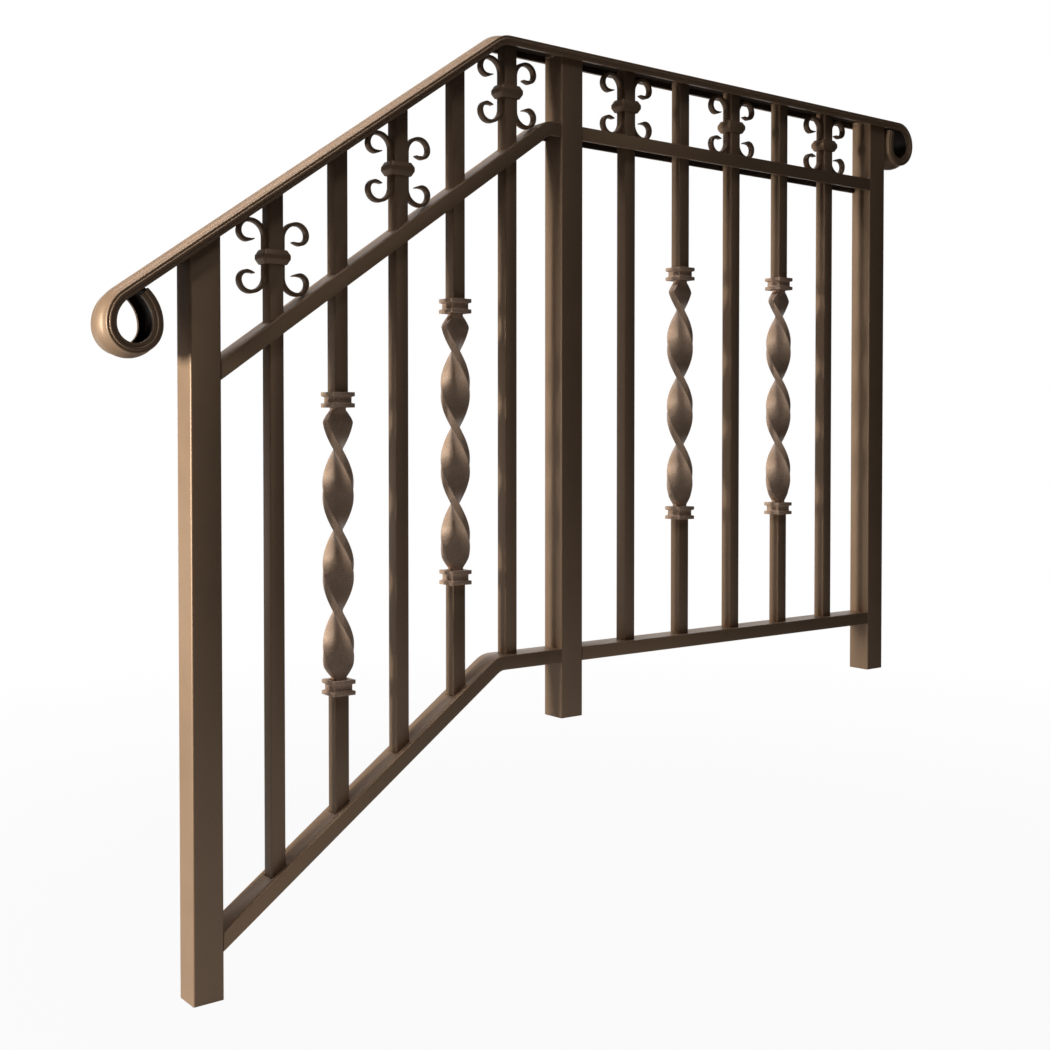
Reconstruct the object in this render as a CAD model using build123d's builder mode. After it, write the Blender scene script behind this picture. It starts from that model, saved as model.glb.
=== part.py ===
"""Stair railing of welded iron: a sloped flight section and a level landing section.

X runs along the railing from the flight's lower end towards the landing, Z is up and the
railing stands in the plane Y = 0. The origin is the centre of the middle post's foot.
All sizes are in millimetres and all angles in degrees.
"""

import math
import os

from build123d import *

# Pitch of the flight
flight_angle = 35.5

# Posts, square tube open at the foot
post_size = 38.1
post_wall = 3.2
post_corner = 2.0
lower_foot_gap = 42.8

# Mid rail and bottom rail, channels open downwards
rail_height = 19.05
rail_wall = 4.5
rail_edge = 0.9
foot_gap = 77.6
panel_height = 706.85
frieze_height = 90.25
mid_rail_stub = 19.05
mid_rail_bend_radius = 6.0
bottom_rail_bend_radius = 20.0
bottom_rail_crest_gap = 7.6

# Balusters, square bar
bar_size = 19.05
bar_edge = 0.8
bar_pitch = 108.6
flight_bar_count = 4
landing_bar_count = 5
lower_post_gap = 95.0
crest_bar_pitch = 85.5
crest_bend_gap = 1.0
middle_post_gap = 116.3
upper_post_gap = 112.4
hole_clearance = 0.4
bar_tail = 3.0

# Handrail, a moulded cap over the posts and the bars
cap_clearance = 0.25
cap_lip_width = 5.1
cap_lip_height = 3.6
cap_groove_depth = 1.0
cap_groove_height = 0.2
cap_bead_height = 3.8
cap_bead_swell = 1.0
cap_neck_height = 1.8
cap_shoulder_bevel = 1.8
cap_shoulder_width = 9.9
cap_crown_step = 0.4
cap_crown_rise = 3.4
cap_web = 4.2
handrail_bend_radius = 30.0

# Curls at the handrail's two ends, as tangent arcs on its lower edge
lower_overhang = 93.0
lower_curl_lead_radius = 32.5
lower_curl_lead_turn = 61.0
lower_curl_radius = 21.0
lower_curl_turn = 170.0
lower_curl_tail_radius = 41.0
lower_curl_tail_turn = 52.0
upper_curl_post_gap = 1.0
upper_curl_lead_radius = 24.0
upper_curl_lead_turn = 180.0
upper_curl_radius = 16.5
upper_curl_turn = 90.0
upper_curl_tail_radius = 150.0
upper_curl_tail_turn = 10.0

# Twisted leaf of every other bar
leaf_width = 37.5
leaf_thickness = 11.5
leaf_length = 301.5
leaf_twist = 540.0
leaf_section_turn = 45.0
flare_length = 15.0
flare_shoulder_width = 29.0
flare_shoulder_thickness = 13.25
neck_size = 15.0
neck_length = 3.25
leaf_rise = 6.0

# Collars at both ends of a twisted leaf
collar_clearance = 0.2
collar_wall = 2.8
collar_flange_reach = 3.0
collar_flange_height = 5.0
collar_sweep_height = 0.8
collar_waist_height = 7.4

# Scroll ornaments on the plain bars, flat strip held by a band
scroll_thickness = 4.5
scroll_depth = 9.0
scroll_lead_radius = 19.2
scroll_radius = 13.75
scroll_tail_radius = 10.25
scroll_tip_length = 9.0
scroll_tip_rise = 1.8
scroll_tip_thickness = 1.4
scroll_clearance = 0.25
scroll_flight_clearance = 0.9
band_height = 17.5
band_thickness = 4.0
band_bevel = 3.4
band_bevel_height = 6.3
band_corner = 2.6

# Sizes worked out from the ones above
slope = math.radians(flight_angle)
rise_per_run = math.tan(slope)
bend_tangent = math.tan(slope / 2)
up_slope = Vector(-math.sin(slope), 0, math.cos(slope))
post_half = post_size / 2
bar_half = bar_size / 2
rail_roof = rail_height - rail_wall
bottom_rail_z = foot_gap
mid_rail_z = bottom_rail_z + rail_height + panel_height
handrail_z = mid_rail_z + rail_height + frieze_height

cap_channel_half = post_half + cap_clearance
cap_side_half = cap_channel_half + cap_lip_width
cap_bead_half = cap_side_half + cap_bead_swell
cap_bead_foot = cap_lip_height + cap_groove_height + cap_groove_depth
cap_bead_top = cap_bead_foot + cap_bead_height
cap_shoulder = cap_bead_top + cap_neck_height + cap_shoulder_bevel
cap_crown_half = cap_side_half - cap_shoulder_width
cap_height = cap_shoulder + cap_crown_step + cap_crown_rise
cap_roof = cap_shoulder - cap_web

scroll_line_x = bar_half + scroll_thickness / 2
scroll_half_height = frieze_height / 2 - scroll_clearance
scroll_top = scroll_half_height - scroll_thickness / 2
scroll_eye_x = scroll_line_x + scroll_lead_radius
scroll_eye_z = scroll_top - scroll_radius
scroll_slope_reach = (
    scroll_eye_x * math.sin(slope)
    + scroll_eye_z * math.cos(slope)
    + scroll_radius
    + scroll_thickness / 2
)
flight_frieze = 2 * (scroll_slope_reach + scroll_flight_clearance) / math.cos(slope)

mid_rail_bend_x = -post_half - mid_rail_stub
frieze_growth = flight_frieze - frieze_height + rail_height / math.cos(slope) - rail_height
handrail_bend_x = mid_rail_bend_x - frieze_growth / rise_per_run
handrail_level_x = handrail_bend_x + handrail_bend_radius * bend_tangent
crest_bar_x = handrail_level_x + crest_bend_gap + bar_half
bottom_rail_level_x = crest_bar_x - bar_half - bottom_rail_crest_gap
bottom_rail_bend_x = bottom_rail_level_x - bottom_rail_bend_radius * bend_tangent

flight_step = bar_pitch * math.cos(slope)
first_bar_x = crest_bar_x - crest_bar_pitch - (flight_bar_count - 1) * flight_step
flight_bars = [first_bar_x + index * flight_step for index in range(flight_bar_count)]
flight_bars.append(crest_bar_x)
landing_bars = [middle_post_gap + index * bar_pitch for index in range(landing_bar_count)]
lower_post_x = flight_bars[0] - lower_post_gap
upper_post_x = landing_bars[-1] + upper_post_gap
plain_bars = flight_bars[0::2] + landing_bars[0::2]
twisted_bars = flight_bars[1::2] + landing_bars[1::2]

leaf_half = leaf_length / 2 + flare_length + neck_length
flare_stations = [
    (leaf_length / 2, leaf_width, leaf_thickness),
    ((leaf_length + flare_length) / 2, flare_shoulder_width, flare_shoulder_thickness),
    (leaf_half - neck_length, neck_size, neck_size),
    (leaf_half, neck_size, neck_size),
]
collar_hole = bar_size + 2 * collar_clearance
collar_waist_half = collar_hole / 2 + collar_wall
collar_half = collar_waist_half + collar_flange_reach
collar_height = 2 * (collar_flange_height + collar_sweep_height) + collar_waist_height


def rail_plane(level_z, bend_x, x, rise):
    """Plane at a square distance above a rail's lower edge, sloped below the rail's bend."""
    if x < bend_x:
        height = level_z + (x - bend_x) * rise_per_run + rise / math.cos(slope)
        return Plane(origin=(x, 0, height), x_dir=(0, 1, 0), z_dir=up_slope)
    return Plane(origin=(x, 0, level_z + rise), x_dir=(0, 1, 0), z_dir=(0, 0, 1))


def cap_roof_plane(x):
    """Underside of the handrail's web, where posts and bars end."""
    return rail_plane(handrail_z, handrail_bend_x, x, cap_roof)


def leaf_centre(x):
    """Height of the middle of a twisted leaf, a little above the middle of its panel."""
    panel_foot = rail_plane(bottom_rail_z, bottom_rail_bend_x, x, rail_height)
    panel_head = rail_plane(mid_rail_z, mid_rail_bend_x, x, 0)
    return (panel_foot.origin.Z + panel_head.origin.Z) / 2 + leaf_rise


def scroll_centre(x):
    """Height of a pair of scrolls, in the middle of the frieze."""
    frieze_foot = rail_plane(mid_rail_z, mid_rail_bend_x, x, rail_height)
    if x < mid_rail_bend_x:
        return frieze_foot.origin.Z + flight_frieze / 2
    return frieze_foot.origin.Z + frieze_height / 2


def tangent_arcs(start, heading, arcs, hand):
    """Draw arcs (radius, turn) that follow one another, turning left (1) or right (-1)."""
    x, z = start
    for radius, turn in arcs:
        direction = math.radians(heading)
        centre = (x - hand * radius * math.sin(direction), z + hand * radius * math.cos(direction))
        first_angle = heading - hand * 90
        CenterArc(centre, radius, first_angle, hand * turn)
        last_angle = math.radians(first_angle + hand * turn)
        x = centre[0] + radius * math.cos(last_angle)
        z = centre[1] + radius * math.sin(last_angle)
        heading += hand * turn
    return x, z


def make_post(x, foot):
    """Square tube from its foot to the handrail's web."""
    top = cap_roof_plane(x)
    with BuildPart() as post:
        with BuildSketch(Plane.XY.offset(foot)) as section:
            with Locations((x, 0)):
                Rectangle(post_size, post_size)
                fillet(section.vertices(), post_corner)
                Rectangle(post_size - 2 * post_wall, post_size - 2 * post_wall, mode=Mode.SUBTRACT)
        extrude(amount=top.origin.Z + post_size - foot)
        split(bisect_by=top, keep=Keep.BOTTOM)
    return post.part


def make_rail(level_z, bend_x, bend_radius, ends, bars):
    """Channel rail from post to post, with a punched hole for every bar."""
    low_x, high_x = ends
    beyond_x = low_x - post_size
    end_plane = Plane(origin=(high_x, 0, level_z), x_dir=(0, 1, 0), z_dir=(1, 0, 0))
    with BuildLine(Plane.XZ) as path:
        if low_x < bend_x:
            drop = (bend_x - beyond_x) * rise_per_run
            corners = [(high_x, level_z), (bend_x, level_z), (beyond_x, level_z - drop)]
            FilletPolyline(*corners, radius=bend_radius)
        else:
            Line((high_x, level_z), (beyond_x, level_z))
    with BuildPart() as rail:
        with BuildSketch(end_plane) as section:
            Rectangle(post_size, rail_height, align=(Align.CENTER, Align.MIN))
            chamfer(section.vertices().group_by(Axis.Z)[-1], rail_edge)
            Rectangle(
                post_size - 2 * rail_wall,
                rail_roof,
                align=(Align.CENTER, Align.MIN),
                mode=Mode.SUBTRACT,
            )
        sweep(path=path.wire())
        split(bisect_by=Plane(origin=(low_x, 0, 0), z_dir=(1, 0, 0)), keep=Keep.TOP)
        with BuildSketch(Plane.XY.offset(level_z)):
            with Locations(*[(x, 0) for x in bars]):
                Rectangle(bar_size + 2 * hole_clearance, bar_size + 2 * hole_clearance)
        extrude(amount=panel_height, both=True, mode=Mode.SUBTRACT)
    return rail.part


def make_bar(x, twisted):
    """Square bar from below the bottom rail's web to the handrail, plain or with a leaf."""
    foot = rail_plane(bottom_rail_z, bottom_rail_bend_x, x, rail_roof - bar_tail)
    top = cap_roof_plane(x)
    low_z = foot.origin.Z - bar_size
    with BuildPart() as bar:
        with BuildSketch(Plane.XY.offset(low_z)) as section:
            with Locations((x, 0)):
                Rectangle(bar_size, bar_size)
                chamfer(section.vertices(), bar_edge)
        extrude(amount=top.origin.Z + bar_size - low_z)
        split(bisect_by=foot, keep=Keep.TOP)
        split(bisect_by=top, keep=Keep.BOTTOM)
        if twisted:
            middle_z = leaf_centre(x)
            with BuildSketch(Plane.XY.offset(middle_z)):
                with Locations((x, 0)):
                    Rectangle(2 * bar_size, 2 * bar_size)
            extrude(amount=leaf_half, both=True, mode=Mode.SUBTRACT)
            section_count = round(leaf_twist / leaf_section_turn)
            for index in range(section_count + 1):
                share = index / section_count
                turned = Plane(origin=(x, 0, middle_z + (share - 0.5) * leaf_length))
                with BuildSketch(turned.rotated((0, 0, -share * leaf_twist))):
                    Rectangle(leaf_width, leaf_thickness)
            loft()
            for side in (-1, 1):
                for height, width, thickness in flare_stations:
                    with BuildSketch(Plane.XY.offset(middle_z + side * height)):
                        with Locations((x, 0)):
                            Rectangle(width, thickness)
                loft(ruled=True)
    return bar.part


def make_collar(x, base):
    """Square collar with two flanges that sweep in to a narrower waist."""
    front = Plane(origin=(x, 0, base), x_dir=(1, 0, 0), z_dir=(0, -1, 0))
    side = Plane(origin=(x, 0, base), x_dir=(0, 1, 0), z_dir=(1, 0, 0))
    waist_foot = collar_flange_height + collar_sweep_height
    with BuildPart() as collar:
        for plane, mode in ((front, Mode.ADD), (side, Mode.INTERSECT)):
            with BuildSketch(plane):
                with BuildLine():
                    Polyline(
                        (0, 0),
                        (collar_half, 0),
                        (collar_half, collar_flange_height),
                        (collar_waist_half, waist_foot),
                        (collar_waist_half, collar_height - waist_foot),
                        (collar_half, collar_height - collar_flange_height),
                        (collar_half, collar_height),
                        (0, collar_height),
                        close=True,
                    )
                make_face()
                mirror(about=Plane.YZ)
            extrude(amount=collar_half, both=True, mode=mode)
        with BuildSketch(Plane.XY.offset(base)):
            with Locations((x, 0)):
                Rectangle(collar_hole, collar_hole)
        extrude(amount=collar_height, mode=Mode.SUBTRACT)
    return collar.part


def make_scroll(x, side):
    """One strip curled at both ends, on the bar's face towards +X (1) or -X (-1)."""
    plane = Plane(origin=(x, 0, scroll_centre(x)), x_dir=(side, 0, 0), z_dir=(0, -side, 0))
    tip_start = (scroll_eye_x + scroll_radius - scroll_tail_radius, scroll_eye_z - scroll_tail_radius)
    tip = (tip_start[0] - scroll_tip_length, tip_start[1] + scroll_tip_rise)
    half = scroll_thickness / 2
    tip_half = scroll_tip_thickness / 2
    with BuildPart() as scroll:
        with BuildSketch(plane):
            with BuildLine():
                Line((scroll_line_x, 0), (scroll_line_x, scroll_top - scroll_lead_radius))
                lead_centre = (scroll_eye_x, scroll_top - scroll_lead_radius)
                CenterArc(lead_centre, scroll_lead_radius, 180, -90)
                CenterArc((scroll_eye_x, scroll_eye_z), scroll_radius, 90, -90)
                tail_centre = (tip_start[0], scroll_eye_z)
                CenterArc(tail_centre, scroll_tail_radius, 0, -90)
            trace(line_width=scroll_thickness)
            with BuildLine():
                Polyline(
                    (tip_start[0], tip_start[1] - half),
                    (tip_start[0], tip_start[1] + half),
                    (tip[0], tip[1] + tip_half),
                    (tip[0], tip[1] - tip_half),
                    close=True,
                )
            make_face()
            mirror(about=Plane.XZ)
        extrude(amount=scroll_depth / 2, both=True)
    return scroll.part


def make_band(x):
    """Bevelled band that clasps a bar and its two scrolls."""
    hole_x = bar_size + 2 * scroll_thickness
    hole_y = bar_size
    with BuildPart() as band:
        with BuildSketch(Plane.XY.offset(scroll_centre(x))) as outline:
            with Locations((x, 0)):
                Rectangle(hole_x + 2 * band_thickness, hole_y + 2 * band_thickness)
                chamfer(outline.vertices(), band_corner)
        extrude(amount=band_height / 2, both=True)
        for rim in (band.faces().sort_by(Axis.Z)[0], band.faces().sort_by(Axis.Z)[-1]):
            chamfer(rim.edges(), band_bevel, band_bevel_height, reference=rim)
        with BuildSketch(Plane.XY.offset(scroll_centre(x))):
            with Locations((x, 0)):
                Rectangle(hole_x, hole_y)
        extrude(amount=band_height, both=True, mode=Mode.SUBTRACT)
    return band.part


def save(part, name):
    """Label a finished piece and write it to its own file."""
    part.label = name
    export_step(part, f"parts/{name}.step")


os.makedirs("parts", exist_ok=True)

# Posts
lower_foot_z = rail_plane(bottom_rail_z, bottom_rail_bend_x, lower_post_x, 0).origin.Z - lower_foot_gap
save(make_post(lower_post_x, lower_foot_z), "lower_post")
save(make_post(0, 0), "middle_post")
save(make_post(upper_post_x, 0), "upper_post")

# Rails, cut to the faces of the posts
flight_ends = (lower_post_x + post_half, -post_half)
landing_ends = (post_half, upper_post_x - post_half)
mid_rail = (mid_rail_z, mid_rail_bend_x, mid_rail_bend_radius)
bottom_rail = (bottom_rail_z, bottom_rail_bend_x, bottom_rail_bend_radius)
save(make_rail(*mid_rail, flight_ends, flight_bars), "mid_rail_flight")
save(make_rail(*mid_rail, landing_ends, landing_bars), "mid_rail_landing")
save(make_rail(*bottom_rail, flight_ends, flight_bars), "bottom_rail_flight")
save(make_rail(*bottom_rail, landing_ends, landing_bars), "bottom_rail_landing")

# Handrail, swept both ways from over the middle post
curl_reach = upper_curl_radius + cap_height + upper_curl_post_gap
upper_curl_x = upper_post_x + post_half + curl_reach
lower_curl_x = lower_post_x - lower_overhang
lower_curl_start = (lower_curl_x, handrail_z + (lower_curl_x - handrail_bend_x) * rise_per_run)
lower_curl = [
    (lower_curl_lead_radius, lower_curl_lead_turn),
    (lower_curl_radius, lower_curl_turn),
    (lower_curl_tail_radius, lower_curl_tail_turn),
]
upper_curl = [
    (upper_curl_lead_radius, upper_curl_lead_turn),
    (upper_curl_radius, upper_curl_turn),
    (upper_curl_tail_radius, upper_curl_tail_turn),
]
with BuildLine(Plane.XZ) as landing_path:
    Line((0, handrail_z), (upper_curl_x, handrail_z))
    tangent_arcs((upper_curl_x, handrail_z), 0, upper_curl, -1)
with BuildLine(Plane.XZ) as flight_path:
    Line((0, handrail_z), (handrail_level_x, handrail_z))
    bend = [(handrail_bend_radius, flight_angle)]
    flight_start = tangent_arcs((handrail_level_x, handrail_z), 180, bend, 1)
    Line(flight_start, lower_curl_start)
    tangent_arcs(lower_curl_start, 180 + flight_angle, lower_curl, 1)

with BuildPart() as handrail:
    cap_plane = Plane(origin=(0, 0, handrail_z), x_dir=(0, 1, 0), z_dir=(1, 0, 0))
    with BuildSketch(cap_plane) as cap_section:
        with BuildLine():
            Line((-cap_channel_half, cap_roof), (cap_channel_half, cap_roof))
            crown_edge = (cap_crown_half - cap_crown_step, cap_shoulder + cap_crown_step)
            ThreePointArc(crown_edge, (0, cap_height), (-crown_edge[0], crown_edge[1]))
            for side in (-1, 1):
                Polyline(
                    (side * cap_channel_half, cap_roof),
                    (side * cap_channel_half, 0),
                    (side * cap_side_half, 0),
                    (side * cap_side_half, cap_lip_height),
                    (side * (cap_side_half - cap_groove_depth), cap_bead_foot - cap_groove_depth),
                    (side * cap_bead_half, cap_bead_foot + cap_bead_swell),
                    (side * cap_bead_half, cap_bead_top - cap_bead_swell),
                    (side * cap_side_half, cap_bead_top),
                    (side * cap_side_half, cap_bead_top + cap_neck_height),
                    (side * (cap_side_half - cap_shoulder_bevel), cap_shoulder),
                    (side * cap_crown_half, cap_shoulder),
                    (side * crown_edge[0], crown_edge[1]),
                )
        make_face()
    sweep(sections=cap_section.sketch, path=landing_path.wire())
    sweep(sections=cap_section.sketch, path=flight_path.wire())
save(handrail.part, "handrail")

# Plain balusters with their scrolls and bands
for number, x in enumerate(plain_bars, start=1):
    save(make_bar(x, twisted=False), f"plain_baluster_{number}")
    save(make_scroll(x, -1), f"scroll_left_{number}")
    save(make_scroll(x, 1), f"scroll_right_{number}")
    save(make_band(x), f"scroll_band_{number}")

# Twisted balusters with their collars
for number, x in enumerate(twisted_bars, start=1):
    save(make_bar(x, twisted=True), f"twisted_baluster_{number}")
    save(make_collar(x, leaf_centre(x) + leaf_half), f"upper_collar_{number}")
    save(make_collar(x, leaf_centre(x) - leaf_half - collar_height), f"lower_collar_{number}")
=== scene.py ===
"""Dressed scene of a welded iron stair railing: a flight and a landing under one moulded handrail."""

import logging
import math
from dataclasses import dataclass
from enum import Enum
from typing import Callable, List, Sequence, Tuple, Union

import bpy
from mathutils import Matrix, Vector


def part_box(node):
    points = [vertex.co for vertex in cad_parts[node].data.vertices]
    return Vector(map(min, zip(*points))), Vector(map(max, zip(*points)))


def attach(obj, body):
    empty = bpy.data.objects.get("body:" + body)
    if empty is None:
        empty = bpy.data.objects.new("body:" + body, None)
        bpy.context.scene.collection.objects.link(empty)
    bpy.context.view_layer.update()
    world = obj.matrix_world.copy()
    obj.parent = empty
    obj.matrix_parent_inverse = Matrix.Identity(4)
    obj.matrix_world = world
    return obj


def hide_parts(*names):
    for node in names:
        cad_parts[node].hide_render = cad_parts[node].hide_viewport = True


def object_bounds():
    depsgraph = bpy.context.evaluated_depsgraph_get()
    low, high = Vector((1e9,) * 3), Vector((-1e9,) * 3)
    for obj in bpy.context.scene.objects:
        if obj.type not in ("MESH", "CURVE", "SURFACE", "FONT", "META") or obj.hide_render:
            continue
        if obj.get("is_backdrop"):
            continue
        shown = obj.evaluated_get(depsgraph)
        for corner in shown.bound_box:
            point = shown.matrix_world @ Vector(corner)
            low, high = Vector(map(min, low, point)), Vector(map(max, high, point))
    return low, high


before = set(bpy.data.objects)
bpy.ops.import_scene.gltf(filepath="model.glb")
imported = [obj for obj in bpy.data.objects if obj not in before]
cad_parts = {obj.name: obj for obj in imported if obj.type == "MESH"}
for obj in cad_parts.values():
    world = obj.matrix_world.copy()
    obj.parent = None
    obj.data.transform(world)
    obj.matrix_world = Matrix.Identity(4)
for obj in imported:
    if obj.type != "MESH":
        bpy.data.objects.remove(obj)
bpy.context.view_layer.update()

LOG = logging.getLogger("stair_railing")
BODY = "root"

NEAR = 1e-6  # two points closer than this along an axis count as level
CHANNEL_NEAR = 0.0002  # the same for the walls and the roof of a channel
MERGE_GAP = 1e-6  # points closer than this are merged when a solid is closed
OUTLINE_MERGE_GAP = 1e-7  # the same for the points of a drawn outline
NODE_MERGE_GAP = 2e-6  # the same for the copy of a node
NODE_FLAT_TURN = math.radians(0.5)  # faces of a copied node that turn less than this are joined
SEED_SIZE = 0.001  # size of the plane that is merged into an outline's first point
ROUND_SEGMENTS = 3  # segments across the rounded upright edges of a block
ROUND_PROFILE = 0.5  # profile of a circular rounding

Pair = Tuple[float, float]
Triple = Tuple[float, float, float]
FaceTest = Callable[[bpy.types.MeshPolygon], bool]
PointsTest = Callable[[List[Vector]], bool]


class Side(Enum):
    """Side of a baluster that a scroll stands on; the value is the sign of its X direction."""

    RIGHT = 1
    LEFT = -1


class Axis(Enum):
    """Axis of the frame; the value is its index in a point."""

    X = 0
    Z = 2


def deselect_all() -> None:
    """Leaves edit mode and deselects every object."""
    if bpy.context.object is not None and bpy.context.object.mode != "OBJECT":
        bpy.ops.object.mode_set(mode="OBJECT")
    bpy.ops.object.select_all(action="DESELECT")


def make_active(piece: bpy.types.Object) -> None:
    """Makes one object the only selected and the active one."""
    deselect_all()
    piece.select_set(True)
    bpy.context.view_layer.objects.active = piece


def edit(piece: bpy.types.Object) -> None:
    """Opens an object in edit mode with all its points selected."""
    make_active(piece)
    bpy.ops.object.mode_set(mode="EDIT")
    bpy.ops.mesh.select_mode(type="VERT")
    bpy.ops.mesh.select_all(action="SELECT")


def select_parts(piece: bpy.types.Object, element: str, test: PointsTest) -> None:
    """Selects the edges or faces of the open mesh that pass a test.

    Args:
        piece: The mesh object, open in edit mode.
        element: EDGE or FACE.
        test: Takes the element's corner points and returns True for a selected element.
    """
    bpy.ops.mesh.select_mode(type=element)
    bpy.ops.mesh.select_all(action="DESELECT")
    bpy.ops.object.mode_set(mode="OBJECT")
    mesh = piece.data
    corners = [vertex.co for vertex in mesh.vertices]
    parts = mesh.edges if element == "EDGE" else mesh.polygons
    for part in parts:
        part.select = test([corners[index] for index in part.vertices])
    bpy.ops.object.mode_set(mode="EDIT")


def select_faces_at(piece: bpy.types.Object, axis: Axis, level: float) -> None:
    """Selects the faces of the open mesh that lie in one plane across an axis.

    Args:
        piece: The mesh object, open in edit mode.
        axis: The axis.
        level: Place of the plane along the axis.
    """
    select_parts(piece, "FACE", lambda points: all(abs(point[axis.value] - level) < NEAR for point in points))


def select_upright_edges(piece: bpy.types.Object) -> None:
    """Selects the edges of the open mesh that aren't level."""
    select_parts(piece, "EDGE", lambda ends: abs(ends[0].z - ends[1].z) > NEAR)


def round_upright_edges(piece: bpy.types.Object, width: float) -> None:
    """Rounds the edges of the open mesh that aren't level.

    Args:
        piece: The mesh object, open in edit mode.
        width: Width of the rounding.
    """
    select_upright_edges(piece)
    bpy.ops.mesh.bevel(offset=width, segments=ROUND_SEGMENTS, profile=ROUND_PROFILE, affect="EDGES")


def new_block(name: str, size: Triple) -> bpy.types.Object:
    """Builds a block about the origin.

    Args:
        name: Name of the new object.
        size: Size along each axis.

    Returns:
        The block, open in edit mode.
    """
    deselect_all()
    bpy.ops.mesh.primitive_cube_add(size=1.0, location=(0, 0, 0))
    piece = bpy.context.object
    piece.name = name
    edit(piece)
    bpy.ops.transform.resize(value=size, center_override=(0, 0, 0))
    return piece


def draw_outline(name: str, outline: Sequence[Vector]) -> bpy.types.Object:
    """Draws a closed outline point by point and fills it.

    Args:
        name: Name of the new object.
        outline: Corner points in order.

    Returns:
        The new object, open in edit mode with its one face selected.
    """
    deselect_all()
    bpy.ops.mesh.primitive_plane_add(size=SEED_SIZE, location=(0, 0, 0))
    piece = bpy.context.object
    piece.name = name
    piece.data.name = name
    edit(piece)
    bpy.ops.mesh.merge(type="CENTER")
    bpy.ops.transform.translate(value=outline[0])
    for here, there in zip(outline, list(outline[1:]) + [outline[0]]):
        bpy.ops.mesh.extrude_vertices_move(TRANSFORM_OT_translate={"value": there - here})
    bpy.ops.mesh.select_all(action="SELECT")
    bpy.ops.mesh.remove_doubles(threshold=OUTLINE_MERGE_GAP)
    bpy.ops.mesh.edge_face_add()
    return piece


def push(step: Vector) -> None:
    """Extrudes the selected face along a step."""
    bpy.ops.mesh.extrude_region_move(TRANSFORM_OT_translate={"value": step})


def turn(centre: Vector, angle: float, step: float) -> None:
    """Spins the selected face about an axis along Y; a positive angle carries +Z towards -X.

    Args:
        centre: A point of the axis.
        angle: Turn in radians.
        step: Largest turn of one segment in radians.
    """
    steps = max(1, math.ceil(abs(angle) / step))
    bpy.ops.mesh.spin(steps=steps, angle=angle, center=centre, axis=(0, 1, 0))


def close_solid(piece: bpy.types.Object) -> None:
    """Merges doubled points of a mesh and turns its faces outwards."""
    edit(piece)
    bpy.ops.mesh.remove_doubles(threshold=MERGE_GAP)
    bpy.ops.mesh.normals_make_consistent(inside=False)
    bpy.ops.object.mode_set(mode="OBJECT")


def join_pieces(pieces: Sequence[bpy.types.Object]) -> bpy.types.Object:
    """Joins objects into the first of them and returns it."""
    make_active(pieces[0])
    for piece in pieces[1:]:
        piece.select_set(True)
    bpy.ops.object.join()
    return pieces[0]


def apply_modifiers(piece: bpy.types.Object) -> None:
    """Applies every modifier of an object in order."""
    make_active(piece)
    for modifier in list(piece.modifiers):
        bpy.ops.object.modifier_apply(modifier=modifier.name)


def soften(piece: bpy.types.Object, width: float, segments: int = 2, angle: float = 30.0) -> None:
    """Rounds the sharp edges of a mesh and shades it smooth.

    Args:
        piece: The mesh object.
        width: Width of the rounding.
        segments: Segments across the rounding.
        angle: Smallest turn in degrees that counts as an edge.
    """
    bevel = piece.modifiers.new("edge_rounding", "BEVEL")
    bevel.width = width
    bevel.segments = segments
    bevel.limit_method = "ANGLE"
    bevel.angle_limit = math.radians(angle)
    apply_modifiers(piece)
    smooth(piece)


def smooth(piece: bpy.types.Object, angle: float = 40.0) -> None:
    """Shades a mesh smooth except across edges sharper than an angle in degrees."""
    make_active(piece)
    bpy.ops.object.shade_smooth_by_angle(angle=math.radians(angle))


def copy_piece(source: bpy.types.Object, name: str, change: Matrix) -> bpy.types.Object:
    """Copies an object with a mesh of its own and moves the copy's mesh.

    Args:
        source: The object to copy.
        name: Name of the copy.
        change: Move or mirror of the copy's points.

    Returns:
        The copy.
    """
    copy = source.copy()
    copy.data = source.data.copy()
    copy.name = name
    copy.data.name = name
    bpy.context.scene.collection.objects.link(copy)
    copy.data.transform(change)
    if change.determinant() < 0:
        edit(copy)
        bpy.ops.mesh.flip_normals()
        bpy.ops.object.mode_set(mode="OBJECT")
    return copy


def copy_node(node: str, name: str) -> bpy.types.Object:
    """Copies a node of the frame, merges its doubled points and joins its flat faces.

    Args:
        node: Name of the node.
        name: Name of the copy.

    Returns:
        The copy.
    """
    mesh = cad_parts[node].data.copy()
    piece = bpy.data.objects.new(name, mesh)
    mesh.name = name
    bpy.context.scene.collection.objects.link(piece)
    make_active(piece)
    bpy.ops.mesh.customdata_custom_splitnormals_clear()
    edit(piece)
    bpy.ops.mesh.remove_doubles(threshold=NODE_MERGE_GAP)
    bpy.ops.mesh.normals_make_consistent(inside=False)
    bpy.ops.mesh.dissolve_limited(angle_limit=NODE_FLAT_TURN, delimit={"NORMAL"})
    bpy.ops.object.mode_set(mode="OBJECT")
    return piece


def node_centre(node: str) -> Vector:
    """Returns the middle of a node's box."""
    low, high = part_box(node)
    return (low + high) / 2


def arc_points(centre: Pair, radius: float, start: float, end: float, steps: int) -> List[Pair]:
    """Returns points along an arc.

    Args:
        centre: Centre of the arc.
        radius: Radius of the arc.
        start: First angle in degrees.
        end: Last angle in degrees.
        steps: Number of segments.

    Returns:
        The points from first to last.
    """
    angles = [math.radians(start + (end - start) * index / steps) for index in range(steps + 1)]
    return [(centre[0] + radius * math.cos(a), centre[1] + radius * math.sin(a)) for a in angles]


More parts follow.
